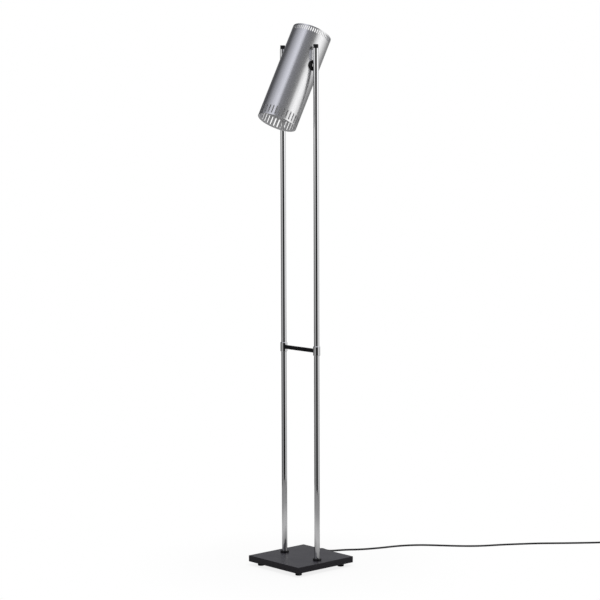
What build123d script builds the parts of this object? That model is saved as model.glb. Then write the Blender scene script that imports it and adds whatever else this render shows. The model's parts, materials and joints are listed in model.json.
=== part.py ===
from build123d import *
import math
import os

# Floor lamp: a square steel base, two chrome poles and a tubular shade that tilts between them.
# Millimetres, +Z up, origin on the floor under the middle of the base plate.
# +X runs along the line of the poles, and the shade lights the -Y side.

# Clearances between pieces
slip_fit = 0.05          # radial, pieces that are pushed together and stay
running_fit = 0.05       # radial, a shaft that turns in its bore
face_play = 0.1          # flat faces that slide on each other
hole_clearance = 0.3     # radial, screws, spindles and wires in plain holes
thread_relief = 1.0      # blind holes are deeper than their screws by this much

# Base plate and feet
plate_margin = 33.0      # from each pole's axis to the plate's edge
plate_thickness = 16.0
plate_chamfer = 0.8
foot_diameter = 17.0
foot_height = 10.0
foot_inset = 23.0
foot_web = 3.5
foot_edge = 1.0
foot_screw_diameter = 4.0
foot_screw_engagement = 7.0
foot_screw_head_diameter = 8.0
foot_screw_head_height = 2.6
screw_head_edge = 0.6

# Poles, their studs, collars and caps
pole_diameter = 14.0
pole_wall = 1.5
pole_length = 1306.0
stud_diameter = 10.0
stud_bore = 6.5
stud_plug_length = 24.0
pole_washer_diameter = 18.0
pole_washer_thickness = 1.5
pole_nut_flats = 16.0
pole_nut_thickness = 4.0
nut_pocket_clearance = 1.5
stud_projection = 0.3
collar_wall = 4.0
collar_height = 4.5
collar_chamfer = 1.0
cap_inset = 0.75         # radial step from the pole to its cap
cap_height = 10.0
cap_spigot_length = 14.0
cap_chamfer = 0.8

# Crossbar and its sleeves
crossbar_above_plate = 541.0
crossbar_diameter = 10.5
crossbar_end_gap = 0.4
sleeve_wall = 2.0
sleeve_height = 25.0
sleeve_chamfer = 1.5
grub_diameter = 3.0
grub_recess = 0.2
grub_socket_flats = 1.5
grub_socket_depth = 1.2

# Shade
shade_diameter = 102.0
shade_wall = 2.0
shade_length = 255.5
shade_above_pivot = 94.0
shade_tilt = 28.0
shade_rim_chamfer = 0.4
pivot_below_pole_top = 43.0
lower_slot_count = 34
lower_slot_width = 3.4
lower_slot_length = 22.0
lower_slot_margin = 4.0
upper_slot_count = 56
upper_slot_width = 2.8
upper_slot_length = 11.0
upper_slot_margin = 3.0

# Pivots
spindle_diameter = 8.0
spindle_bore = 5.0
spindle_shoulder = 0.75  # radial step from the spindle to its collar
spindle_collar_length = 1.85
spindle_projection = 1.0
pivot_block_height = 24.0
wire_way = 7.0           # bore of the pivot block
disc_diameter = 27.0
disc_thickness = 3.0
disc_edge = 0.8
seat_diameter = 20.0
seat_thickness = 4.0
stop_ring_diameter = 15.0
stop_ring_thickness = 1.5
stop_pin_diameter = 3.0
stop_pin_gap = 1.5       # radial, between the stop ring and the pin
stop_pin_reach = 0.7     # past the stop ring
stop_pin_edge = 3.5      # from the pin's axis to the end of the bridge
stop_slack = 0.6         # degrees left at the end of the swing
swing_each_way = 150.0   # degrees either side of upright
spring_washer_diameter = 14.0
spring_washer_thickness = 1.2
pivot_nut_flats = 13.0
pivot_nut_thickness = 4.0

# Lamp bridge, lamp holder and bulb
bridge_width = 24.0
bridge_thickness = 1.5
bridge_height = 48.0
bridge_bend = 3.0
nipple_diameter = 10.0
nipple_bore = 7.0
nipple_above_nut = 1.0
nipple_in_cap = 8.0
nipple_nut_flats = 14.0
nipple_nut_thickness = 4.0
holder_step = 2.0        # radial step from the skirt to the holder
holder_wall = 2.0
holder_neck_diameter = 16.0
holder_neck_length = 4.0
holder_shoulder = 8.0
holder_cap_length = 22.0
holder_core_thickness = 9.0
holder_core_gap = 0.2
skirt_length = 32.0
skirt_wall = 2.85
screw_shell_bore = 26.8
screw_shell_wall = 0.7
screw_shell_length = 28.0
contact_diameter = 8.0
contact_thickness = 0.5
bulb_thread_play = 0.3   # radial, the bulb's thread in its shell
bulb_cap_length = 27.0
bulb_tip_diameter = 9.0
bulb_tip_height = 2.5
bulb_diameter = 60.0
bulb_neck_inset = 0.6    # radial step from the metal cap to the neck
bulb_neck_length = 8.0
bulb_shoulder = 40.0     # from the end of the neck to the middle of the globe
bulb_wall = 1.0

# Wires inside the lamp
wire_diameter = 3.2
wire_room = 1.0          # left over where the wire passes under the pole's stud
wire_entry_bend = 4.0
wire_pivot_bend = 5.0
wire_dip_bend = 6.0
wire_tail = 1.5
wire_end_gap = 0.4
head_wire_gap = 3.4      # between the lamp holder and the wire that rises beside it
head_wire_bend = 5.0
head_wire_loop = 22.0    # how far the wire stands above the bridge
wire_sleeve_gap = 0.35
wire_sleeve_wall = 0.4
grommet_flange = 1.5
grommet_wall = 1.0

# Cord entry under the base
cord_diameter = 5.0
cord_depth = 4.0         # from the underside of the plate to the cord's axis
groove_play = 1.5        # radial, between the cord and its groove
clamp_length = 28.0
clamp_width = 10.0
clamp_thickness = 3.0
clamp_from_edge = 40.0
clamp_screw_spacing = 18.0
clamp_screw_diameter = 3.0
clamp_screw_engagement = 5.0
clamp_screw_head_diameter = 5.5
clamp_screw_head_height = 1.8
relief_sleeve_length = 14.0
relief_flange_diameter = 11.0
relief_flange_thickness = 2.5
relief_root_diameter = 9.0
relief_tip_wall = 0.7
relief_taper_length = 22.5
sheath_end = 20.0        # where the sheath stops, behind the pole's axis
cord_lead = 12.0         # straight run out of the strain relief
cord_bend_share = 0.45   # of the shorter run beside a bend that the bend may take

# Coil of the spare cord, its tie and the plug
coil_turns = 7.258
coil_radius = 40.0
coil_turn_gap = 0.6
coil_layer_gap = 0.6
floor_gap = 0.1          # under what lies on the floor
tie_angle = 46.0         # degrees along the coil from its start
tie_width = 12.0
tie_thickness = 1.0
tie_gap = 0.3
plug_boot_length = 25.0
plug_boot_wall = 0.4     # at the boot's thin end
plug_boot_root = 10.0
plug_length = 36.0
plug_width = 35.0
plug_back_width = 14.0
plug_shoulder = 15.0
plug_thickness = 13.7
plug_edge = 2.0
plug_pin_diameter = 4.0
plug_pin_length = 19.0
plug_pin_spacing = 18.6

# Places that follow from the sizes
plate_bottom = foot_height
plate_top = plate_bottom + plate_thickness
pole_radius = pole_diameter / 2
pole_bore = pole_diameter - 2 * pole_wall
pole_top = plate_top + pole_length
shade_radius = shade_diameter / 2
pivot_z = pole_top - pivot_below_pole_top
crossbar_z = plate_top + crossbar_above_plate
stud_bottom = plate_bottom + wire_diameter + wire_room
pocket_top = stud_bottom + stud_projection + pole_nut_thickness + pole_washer_thickness
cord_z = plate_bottom + cord_depth
disc_face = shade_radius + disc_thickness
collar_face = disc_face + face_play
pole_x = collar_face + spindle_collar_length + slip_fit + pole_radius
plate_side = 2 * (pole_x + plate_margin)
back_edge = plate_side / 2
cord_exit_y = back_edge + relief_flange_thickness + relief_taper_length
groove_width = cord_diameter + 2 * groove_play
sleeve_diameter = pole_diameter + 2 * sleeve_wall
spindle_collar_diameter = spindle_diameter + 2 * spindle_shoulder
stop_pin_radius = (stop_ring_diameter + stop_pin_diameter) / 2 + stop_pin_gap
bridge_drop = stop_pin_radius + stop_pin_edge
seat_face = shade_radius - shade_wall - seat_thickness
bridge_face = seat_face - bridge_thickness
stop_face = bridge_face - face_play
spring_face = stop_face - stop_ring_thickness
nut_face = spring_face - spring_washer_thickness
spindle_tip = nut_face - pivot_nut_thickness - spindle_projection
wire_end = spindle_tip - wire_tail
head_wire_start = wire_end - wire_end_gap
skirt_bore = screw_shell_bore + 2 * screw_shell_wall + 2 * slip_fit
skirt_diameter = skirt_bore + 2 * skirt_wall
holder_diameter = skirt_diameter + 2 * holder_step
head_wire_offset = holder_diameter / 2 + head_wire_gap + wire_diameter / 2
head_wire_turn = min(head_wire_bend, head_wire_start - head_wire_offset - wire_end_gap)
bulb_cap_diameter = screw_shell_bore - 2 * bulb_thread_play
bulb_neck_diameter = bulb_cap_diameter - 2 * bulb_neck_inset
bridge_top = bridge_height + bridge_thickness
skirt_top = bridge_height - holder_cap_length
core_top = bridge_height - holder_neck_length - holder_shoulder - holder_wall - holder_core_gap
core_bottom = core_top - holder_core_thickness
bulb_tip = core_bottom - contact_thickness
bulb_neck_top = bulb_tip - bulb_cap_length
head_place = Pos(0, 0, pivot_z) * Rot(-shade_tilt, 0, 0)

# Route of the free cord on the floor, chosen point by point, from the base to where it is coiled
cord_route = [
    (-pole_x, cord_exit_y, cord_z),
    (-pole_x, cord_exit_y + cord_lead, cord_z),
    (-62, 152, 5.0),
    (-55, 173, 2.7),
    (-42, 199, 2.6),
    (-21, 233, 2.6),
    (2, 284, 2.6),
    (21, 341, 2.6),
    (51, 388, 2.6),
    (92, 423, 2.6),
    (134, 457, 2.6),
    (171, 497, 2.6),
    (197, 548, 2.6),
    (227, 595, 2.6),
    (258, 641, 2.6),
    (294, 682, 2.6),
    (328, 724, 2.6),
    (356, 762, 2.8),
    (379, 793, 4.0),
    (396, 814, 4.0),
]

STANDING = (Align.CENTER, Align.CENTER, Align.MIN)
ALONG_X = Rot(0, 90, 0)
ALONG_Y = Rot(-90, 0, 0)


def rod(diameter, length):
    """Upright cylinder on z = 0."""
    return Cylinder(diameter / 2, length, align=STANDING)


def tube(outer, inner, length):
    """Upright tube, ring or washer on z = 0."""
    return rod(outer, length) - rod(inner, length)


def hex_nut(flats, bore, thickness):
    """Upright hexagon nut on z = 0."""
    return extrude(RegularPolygon(flats / 2, 6, major_radius=False), thickness) - rod(bore, thickness)


def turned(*points):
    """Solid of revolution about Z from a closed outline of (radius, height) points."""
    outline = Polyline(*[(r, 0, z) for r, z in points], close=True)
    return revolve(make_face(outline), Axis.Z)


def end_edges(part, at_top):
    """Circular edges of an upright part at its top or bottom."""
    return part.edges().group_by(Axis.Z)[-1 if at_top else 0]


def save(node, *pieces):
    """Write a node as one solid or as a group of separate solids."""
    solids = [solid for piece in pieces for solid in piece.solids()]
    export_step(solids[0] if len(solids) == 1 else Compound(solids), f"parts/{node}.step")


def save_pair(name, right):
    """Write a piece at the right pole and its mirror image at the left one."""
    save(f"right_{name}", right)
    save(f"left_{name}", mirror(right, about=Plane.YZ))


def both_sides(right):
    """A piece at the right pole with its mirror image at the left one."""
    return right, mirror(right, about=Plane.YZ)


def swept_tube(path, diameter):
    """Round tube along a path."""
    start = Plane(origin=path @ 0, z_dir=path % 0)
    return sweep(start * Circle(diameter / 2), path=path)


# Base plate: steel, with pockets below for the pole nuts, the cord's groove and its clamp

foot_places = [
    (x * (plate_side / 2 - foot_inset), y * (plate_side / 2 - foot_inset)) for x in (-1, 1) for y in (-1, 1)
]
clamp_y = back_edge - clamp_from_edge
clamp_screw_places = [(-pole_x + side * clamp_screw_spacing / 2, clamp_y) for side in (-1, 1)]


def base_plate():
    plate = Pos(0, 0, plate_bottom) * Box(plate_side, plate_side, plate_thickness, align=STANDING)
    plate = chamfer(plate.edges(), plate_chamfer)
    pocket = pole_washer_diameter + 2 * nut_pocket_clearance
    for x in (-pole_x, pole_x):
        plate -= Pos(x, 0, plate_bottom) * rod(stud_diameter + 2 * hole_clearance, plate_thickness)
        plate -= Pos(x, 0, plate_bottom) * rod(pocket, pocket_top - plate_bottom)
    for x, y in foot_places:
        plate -= Pos(x, y, plate_bottom) * rod(
            foot_screw_diameter + 2 * slip_fit, foot_screw_engagement + thread_relief
        )
    groove = Pos(-pole_x, 0, cord_z) * ALONG_Y * rod(groove_width, plate_side / 2)
    groove += Pos(-pole_x, plate_side / 4, plate_bottom) * Box(
        groove_width, plate_side / 2, cord_depth, align=STANDING
    )
    plate -= groove
    plate -= Pos(-pole_x, clamp_y, plate_bottom) * Box(
        clamp_length + 2 * hole_clearance, clamp_width + 2 * hole_clearance, clamp_thickness, align=STANDING
    )
    for x, y in clamp_screw_places:
        plate -= Pos(x, y, plate_bottom + clamp_thickness) * rod(
            clamp_screw_diameter + 2 * slip_fit, clamp_screw_engagement + thread_relief
        )
    return plate


def foot():
    pad = rod(foot_diameter, foot_height)
    pad = fillet(end_edges(pad, at_top=False), foot_edge)
    pad -= rod(foot_screw_head_diameter + 2 * hole_clearance, foot_height - foot_web)
    return pad - rod(foot_screw_diameter + 2 * slip_fit, foot_height)


def pan_screw(diameter, length, head_diameter, head_height):
    """Screw that points up, with the underside of its head on z = 0."""
    head = Pos(0, 0, -head_height) * rod(head_diameter, head_height)
    head = chamfer(end_edges(head, at_top=False), screw_head_edge)
    return head + rod(diameter, length)


def foot_screw():
    return Pos(0, 0, foot_height - foot_web) * pan_screw(
        foot_screw_diameter,
        foot_web + foot_screw_engagement,
        foot_screw_head_diameter,
        foot_screw_head_height,
    )


# Poles: chrome tubes on threaded studs, with collars at the foot and caps on top


def right_pole():
    pole = Pos(pole_x, 0, plate_top) * tube(pole_diameter, pole_bore, pole_length)
    pole -= Pos(pole_x, 0, crossbar_z) * ALONG_Y * rod(grub_diameter + 2 * slip_fit, pole_diameter)
    return pole - Pos(0, 0, pivot_z) * ALONG_X * rod(spindle_diameter + 2 * slip_fit, pole_x)


def right_pole_stud():
    stud = Pos(0, 0, plate_top) * rod(pole_bore - 2 * slip_fit, stud_plug_length)
    stud += Pos(0, 0, stud_bottom) * rod(stud_diameter, plate_top - stud_bottom)
    stud -= Pos(0, 0, stud_bottom) * rod(stud_bore, plate_top + stud_plug_length - stud_bottom)
    return Pos(pole_x, 0, 0) * stud


def right_pole_washer():
    ring = tube(pole_washer_diameter, stud_diameter + 2 * slip_fit, pole_washer_thickness)
    return Pos(pole_x, 0, pocket_top - pole_washer_thickness) * ring


def right_pole_nut():
    nut = hex_nut(pole_nut_flats, stud_diameter + 2 * slip_fit, pole_nut_thickness)
    return Pos(pole_x, 0, pocket_top - pole_washer_thickness - pole_nut_thickness) * nut


def right_base_collar():
    ring = tube(pole_diameter + 2 * collar_wall, pole_diameter + 2 * slip_fit, collar_height)
    ring = chamfer(end_edges(ring, at_top=True).sort_by(SortBy.LENGTH)[-1], collar_chamfer)
    return Pos(pole_x, 0, plate_top) * ring


def right_pole_cap():
    head = rod(pole_diameter - 2 * cap_inset, cap_height)
    head = chamfer(end_edges(head, at_top=True), cap_chamfer)
    spigot = Pos(0, 0, -cap_spigot_length) * rod(pole_bore - 2 * slip_fit, cap_spigot_length)
    return Pos(pole_x, 0, pole_top) * (head + spigot)


# Crossbar: a black rod held between chrome sleeves that are locked to the poles by grub screws

crossbar_half = pole_x - pole_radius - crossbar_end_gap


def right_sleeve():
    ring = tube(sleeve_diameter, pole_diameter + 2 * slip_fit, sleeve_height)
    for at_top in (True, False):
        ring = chamfer(end_edges(ring, at_top).sort_by(SortBy.LENGTH)[-1], sleeve_chamfer)
    ring = Pos(pole_x, 0, crossbar_z - sleeve_height / 2) * ring
    ring -= Pos(0, 0, crossbar_z) * ALONG_X * rod(crossbar_diameter + 2 * slip_fit, pole_x)
    return ring - Pos(pole_x, 0, crossbar_z) * ALONG_Y * rod(grub_diameter + 2 * slip_fit, sleeve_diameter)


def right_grub_screw():
    length = sleeve_wall + pole_wall - grub_recess
    screw = rod(grub_diameter, length)
    socket = extrude(RegularPolygon(grub_socket_flats / 2, 6, major_radius=False), grub_socket_depth)
    screw -= Pos(0, 0, length - grub_socket_depth) * socket
    return Pos(pole_x, pole_radius - pole_wall, crossbar_z) * ALONG_Y * screw


def crossbar():
    return Pos(-crossbar_half, 0, crossbar_z) * ALONG_X * rod(crossbar_diameter, 2 * crossbar_half)


# Pivots: hollow spindles screwed into blocks inside the poles, on which the shade turns


def right_pivot_block():
    block = Pos(0, 0, -pivot_block_height / 2) * rod(pole_bore - 2 * slip_fit, pivot_block_height)
    way_length = pivot_block_height / 2 + wire_way / 2
    block -= Pos(0, 0, -pivot_block_height / 2) * rod(wire_way, way_length)
    block = Pos(pole_x, 0, pivot_z) * block
    return block - Pos(0, 0, pivot_z) * ALONG_X * rod(spindle_diameter + 2 * slip_fit, pole_x)


def on_pivot(start, part):
    """An upright part laid along the pivot axis, from x = start outwards."""
    return Pos(start, 0, pivot_z) * ALONG_X * part


def right_spindle():
    pole_end = pole_x - wire_way / 2
    spindle = on_pivot(spindle_tip, rod(spindle_diameter, pole_end - spindle_tip))
    spindle += on_pivot(collar_face, rod(spindle_collar_diameter, spindle_collar_length))
    return spindle - on_pivot(spindle_tip, rod(spindle_bore, pole_end - spindle_tip))


def plain_ring():
    return tube(stop_ring_diameter, spindle_diameter + 2 * slip_fit, stop_ring_thickness)


def right_stop_ring():
    """Ring keyed to the right spindle, whose tab ends the swing of the shade's stop pin."""
    pin_half_angle = math.degrees(math.asin(stop_pin_diameter / 2 / stop_pin_radius))
    tab_half_angle = 180 - swing_each_way - pin_half_angle - stop_slack
    tab_radius = stop_pin_radius + stop_pin_diameter / 2
    tab = CenterArc((0, 0), tab_radius, 90 - tab_half_angle, 2 * tab_half_angle)
    sector = make_face([Line((0, 0), tab @ 0), tab, Line(tab @ 1, (0, 0))])
    ring = plain_ring() + extrude(sector, stop_ring_thickness)
    ring -= rod(spindle_diameter + 2 * slip_fit, stop_ring_thickness)
    return Pos(spring_face, 0, pivot_z) * (Plane.YZ * ring)


def left_friction_ring():
    return mirror(on_pivot(spring_face, plain_ring()), about=Plane.YZ)


def right_spring_washer():
    ring = tube(spring_washer_diameter, spindle_diameter + 2 * slip_fit, spring_washer_thickness)
    return on_pivot(nut_face, ring)


def right_pivot_nut():
    nut = hex_nut(pivot_nut_flats, spindle_diameter + 2 * slip_fit, pivot_nut_thickness)
    return on_pivot(nut_face - pivot_nut_thickness, nut)


# Head: everything that turns with the shade, drawn upright about the pivot and then tilted


def shade():
    shell = tube(shade_diameter, shade_diameter - 2 * shade_wall, shade_length)
    for at_top in (True, False):
        shell = chamfer(end_edges(shell, at_top), shade_rim_chamfer)
    bands = [
        (lower_slot_count, lower_slot_width, lower_slot_length, lower_slot_margin + lower_slot_length / 2),
        (
            upper_slot_count,
            upper_slot_width,
            upper_slot_length,
            shade_length - upper_slot_margin - upper_slot_length / 2,
        ),
    ]
    for count, width, length, height in bands:
        slot = Plane.YZ * SlotOverall(length, width, rotation=90)
        cutter = Pos(shade_radius - 2 * shade_wall, 0, height) * extrude(slot, 3 * shade_wall)
        shell -= [Rot(0, 0, 360 * number / count) * cutter for number in range(count)]
    shell = Pos(0, 0, shade_above_pivot - shade_length) * shell
    spindle_way = ALONG_X * Pos(0, 0, -shade_diameter) * rod(
        spindle_collar_diameter + 2 * hole_clearance, 2 * shade_diameter
    )
    return shell - spindle_way


def right_pivot_disc():
    blank = fillet(end_edges(rod(disc_diameter, disc_face), at_top=True), disc_edge)
    blank -= rod(spindle_diameter + 2 * running_fit, disc_face)
    saddle = Pos(0, 0, -disc_diameter) * rod(shade_diameter, 2 * disc_diameter)
    return ALONG_X * blank - saddle


def right_inner_seat():
    blank = Pos(0, 0, seat_face) * tube(seat_diameter, spindle_diameter + 2 * running_fit, shade_radius)
    inside = Pos(0, 0, -seat_diameter) * rod(shade_diameter - 2 * shade_wall, 2 * seat_diameter)
    return ALONG_X * blank & inside


def lamp_bridge():
    """Bent steel strip that carries the lamp holder between the two pivots."""
    height = bridge_drop + bridge_top
    strip = Pos(0, 0, -bridge_drop) * Box(2 * seat_face, bridge_width, height, align=STANDING)
    strip = fillet(strip.edges().filter_by(Axis.Y).group_by(Axis.Z)[-1], bridge_bend)
    inner = Pos(0, 0, -bridge_drop) * Box(
        2 * bridge_face, bridge_width, height - bridge_thickness, align=STANDING
    )
    inner = fillet(inner.edges().filter_by(Axis.Y).group_by(Axis.Z)[-1], bridge_bend - bridge_thickness)
    strip -= inner
    strip -= Pos(-seat_face, 0, 0) * ALONG_X * rod(spindle_diameter + 2 * hole_clearance, 2 * seat_face)
    strip -= Pos(0, 0, -stop_pin_radius) * ALONG_X * rod(stop_pin_diameter + 2 * slip_fit, seat_face)
    strip -= rod(nipple_diameter + 2 * slip_fit, bridge_top)
    grommet_hole = wire_diameter + 2 * hole_clearance + 2 * grommet_wall
    return strip - Pos(-head_wire_offset, 0, 0) * rod(grommet_hole + 2 * slip_fit, bridge_top)


def stop_pin():
    length = bridge_thickness + face_play + stop_ring_thickness + stop_pin_reach
    return Pos(seat_face - length, 0, -stop_pin_radius) * ALONG_X * rod(stop_pin_diameter, length)


def wire_grommet():
    bore = wire_diameter + 2 * hole_clearance
    waist = bore + 2 * grommet_wall
    flange = tube(waist + 2 * grommet_flange, bore, grommet_wall)
    ring = tube(waist, bore, bridge_thickness)
    ring += Pos(0, 0, -grommet_wall) * flange
    ring += Pos(0, 0, bridge_thickness) * flange
    return Pos(-head_wire_offset, 0, bridge_height) * ring


def holder_nipple():
    bottom = bridge_height - nipple_in_cap
    length = bridge_top + nipple_nut_thickness + nipple_above_nut - bottom
    return Pos(0, 0, bottom) * tube(nipple_diameter, nipple_bore, length)


def nipple_nut():
    nut = hex_nut(nipple_nut_flats, nipple_diameter + 2 * slip_fit, nipple_nut_thickness)
    return Pos(0, 0, bridge_top) * nut


def holder_cap():
    bore = nipple_diameter / 2 + slip_fit
    outer = holder_diameter / 2
    neck_end = bridge_height - holder_neck_length
    shoulder = neck_end - holder_shoulder
    ceiling = shoulder - holder_wall
    return turned(
        (bore, bridge_height),
        (holder_neck_diameter / 2, bridge_height),
        (holder_neck_diameter / 2, neck_end),
        (outer, shoulder),
        (outer, skirt_top),
        (outer - holder_wall, skirt_top),
        (outer - holder_wall, ceiling),
        (bore, ceiling),
    )


def holder_core():
    """Ceramic disc that carries the contacts."""
    diameter = holder_diameter - 2 * holder_wall - 2 * slip_fit
    return Pos(0, 0, core_bottom) * rod(diameter, holder_core_thickness)


def center_contact():
    return Pos(0, 0, bulb_tip) * rod(contact_diameter, contact_thickness)


def screw_shell():
    shell = tube(screw_shell_bore + 2 * screw_shell_wall, screw_shell_bore, screw_shell_length)
    return Pos(0, 0, core_bottom - screw_shell_length) * shell


def holder_skirt():
    """Insulating sleeve that screws to the cap and hides the screw shell."""
    bore = skirt_bore / 2
    lip = holder_diameter / 2 - holder_wall - slip_fit
    return turned(
        (bore, core_bottom),
        (lip, core_bottom),
        (lip, skirt_top),
        (holder_diameter / 2, skirt_top),
        (skirt_diameter / 2, skirt_top - skirt_length / 2),
        (skirt_diameter / 2, skirt_top - skirt_length),
        (bore, skirt_top - skirt_length),
    )


def bulb_cap():
    tip = Pos(0, 0, bulb_tip - bulb_tip_height) * rod(bulb_tip_diameter, bulb_tip_height)
    thread_length = bulb_cap_length - bulb_tip_height
    return tip + Pos(0, 0, bulb_neck_top) * rod(bulb_cap_diameter, thread_length)


def bulb_glass():
    """Globe, neck and the hollow curve between them, as one blown shell."""
    neck = bulb_neck_diameter / 2
    globe = bulb_diameter / 2
    neck_end = bulb_neck_top - bulb_neck_length
    globe_z = neck_end - bulb_shoulder
    hollow = (bulb_shoulder**2 + neck**2 - globe**2) / (2 * (globe - neck))

    def profile(inset):
        """Outline at a depth inside the outer surface, from the neck's end to the bottom of the globe."""
        reach = math.atan2(bulb_shoulder, neck + hollow)
        touch = (
            (globe - inset) * math.cos(reach),
            0,
            globe_z + (globe - inset) * math.sin(reach),
        )
        side = (globe - inset) * math.cos(reach / 2), 0, globe_z - (globe - inset) * math.sin(reach / 2)
        bend = hollow + inset
        bend_middle = (
            neck + hollow - bend * math.cos(reach / 2),
            0,
            neck_end - bend * math.sin(reach / 2),
        )
        start = (neck - inset, 0, bulb_neck_top)
        bend_start = (neck - inset, 0, neck_end)
        bottom = (0, 0, globe_z - globe + inset)
        return [
            Line(start, bend_start),
            ThreePointArc(bend_start, bend_middle, touch),
            ThreePointArc(touch, side, bottom),
        ]

    outer = profile(0)
    inner = profile(bulb_wall)
    top = Line(outer[0] @ 0, inner[0] @ 0)
    bottom = Line(outer[-1] @ 1, inner[-1] @ 1)
    return revolve(make_face([*outer, bottom, *inner, top]), Axis.Z)


# Wires inside the lamp, from the end of the cord's sheath to the lamp holder


def pole_wire():
    """Pair of conductors up the left pole and out through its spindle."""
    low = plate_bottom + wire_diameter / 2 + hole_clearance
    dip = sheath_end / 3
    path = FilletPolyline(
        (-pole_x, sheath_end, cord_z),
        (-pole_x, 2 * dip, cord_z),
        (-pole_x, dip, low),
        (-pole_x, 0, low),
        (-pole_x, 0, pivot_z),
        (-wire_end, 0, pivot_z),
        radius=[wire_dip_bend, wire_dip_bend, wire_entry_bend, wire_pivot_bend],
    )
    return swept_tube(path, wire_diameter)


def head_wire():
    """The same pair on the shade's side of the pivot, over the bridge and down the nipple."""
    crest = bridge_top + head_wire_loop
    loop_bend = head_wire_offset / 2 - hole_clearance
    path = FilletPolyline(
        (-head_wire_start, 0, 0),
        (-head_wire_offset, 0, 0),
        (-head_wire_offset, 0, crest),
        (0, 0, crest),
        (0, 0, core_top + holder_core_gap),
        radius=[head_wire_turn, loop_bend, loop_bend],
    )
    return swept_tube(path, wire_diameter)


def wire_sleeve():
    """Loose sleeve over the place where the wire twists as the shade tilts."""
    bore = wire_diameter + 2 * wire_sleeve_gap
    start = head_wire_offset + head_wire_turn + wire_end_gap
    length = spindle_tip - hole_clearance - start
    sleeve = tube(bore + 2 * wire_sleeve_wall, bore, length)
    return Pos(-start - length, 0, 0) * ALONG_X * sleeve


# Cord entry: the sheathed cord in its groove, held by a clamp and a rubber strain relief


def cord_clamp():
    bar = Box(clamp_length, clamp_width, clamp_thickness, align=STANDING)
    bar = Pos(-pole_x, clamp_y, plate_bottom) * bar
    cord_way = rod(cord_diameter + 2 * slip_fit, 2 * clamp_width)
    bar -= Pos(-pole_x, clamp_y - clamp_width, cord_z) * ALONG_Y * cord_way
    for x, y in clamp_screw_places:
        bar -= Pos(x, y, plate_bottom) * rod(clamp_screw_diameter + 2 * hole_clearance, clamp_thickness)
    return bar


def clamp_screw():
    return Pos(0, 0, plate_bottom) * pan_screw(
        clamp_screw_diameter,
        clamp_thickness + clamp_screw_engagement,
        clamp_screw_head_diameter,
        clamp_screw_head_height,
    )


def strain_relief():
    bore = cord_diameter / 2 + slip_fit
    sleeve = groove_width / 2 - 2 * slip_fit
    flange = relief_flange_diameter / 2
    body = turned(
        (bore, -relief_sleeve_length),
        (sleeve, -relief_sleeve_length),
        (sleeve, 0),
        (flange, 0),
        (flange, relief_flange_thickness),
        (relief_root_diameter / 2, relief_flange_thickness),
        (cord_diameter / 2 + relief_tip_wall, relief_flange_thickness + relief_taper_length),
        (bore, relief_flange_thickness + relief_taper_length),
    )
    return Pos(-pole_x, back_edge, cord_z) * ALONG_Y * body


def cord_inlet():
    return Pos(-pole_x, sheath_end, cord_z) * ALONG_Y * rod(cord_diameter, cord_exit_y - sheath_end)


# Free cord: a tube of straight runs and tangent arcs, as large as the runs allow


def free_cord():
    points = [Vector(*point) for point in cord_route]
    runs = [after - before for before, after in zip(points, points[1:])]
    radii = []
    for before, after in zip(runs, runs[1:]):
        half_turn = math.radians(before.get_angle(after)) / 2
        radii.append(cord_bend_share * min(before.length, after.length) / math.tan(half_turn))
    print("cord radii", [round(radius) for radius in radii])
    path = FilletPolyline(*points, radius=radii)
    cord = swept_tube(path, cord_diameter)
    expected = math.pi * cord_diameter**2 / 4 * path.length
    print("cord length", round(path.length))
    print("cord volume against section times length", round(cord.volume / expected, 4))
    return cord


# Coil: one unbroken length that spirals in on the lower layer and out again on the upper one

coil_pitch = cord_diameter + coil_turn_gap
coil_layer_step = cord_diameter + coil_layer_gap
coil_angle = 2 * math.pi * coil_turns
coil_drift = coil_pitch / (2 * math.pi)
coil_run_in = Vector(*cord_route[-1]) - Vector(*cord_route[-2])
coil_heading = math.atan2(coil_run_in.Y, coil_run_in.X)
coil_slant = math.atan2(coil_drift, coil_radius)
coil_start_angle = coil_heading + math.pi / 2 + coil_slant
coil_mouth = Vector(*cord_route[-1]) + coil_run_in.normalized() * cord_diameter
coil_end_height = coil_mouth.Z + coil_layer_step
plug_reach = cord_diameter + plug_boot_length + plug_length
coil_end_slope = (coil_end_height - plug_thickness / 2 - floor_gap) / plug_reach
coil_center = coil_mouth - Vector(math.cos(coil_start_angle), math.sin(coil_start_angle)) * coil_radius


def coil_point(travel):
    """Point and heading of the coil's axis after a travel in radians, seen from above as clockwise."""
    from_middle = travel - coil_angle / 2
    reverse = math.pi / 2
    if abs(from_middle) > reverse:
        radius = coil_radius - coil_drift * (coil_angle / 2 - abs(from_middle))
        growth = math.copysign(coil_drift, from_middle)
        climb = 0.0 if from_middle < 0 else 1.0
        steepness = 0.0
    else:
        turning = coil_radius - coil_drift * (coil_angle / 2 - reverse) - coil_drift * reverse / 2
        radius = turning + coil_drift * from_middle**2 / (2 * reverse)
        growth = coil_drift * from_middle / reverse
        share = (from_middle + reverse) / math.pi
        climb = share * share * (3 - 2 * share)
        steepness = 6 * share * (1 - share) / math.pi
    angle = coil_start_angle - travel
    outward = Vector(math.cos(angle), math.sin(angle))
    forward = Vector(math.sin(angle), -math.cos(angle))
    place = coil_center + outward * radius + Vector(0, 0, coil_layer_step * climb)
    heading = forward * radius + outward * growth + Vector(0, 0, coil_layer_step * steepness)
    if travel == coil_angle:
        heading -= Vector(0, 0, coil_end_slope * heading.length)
    return place, heading.normalized()


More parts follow.
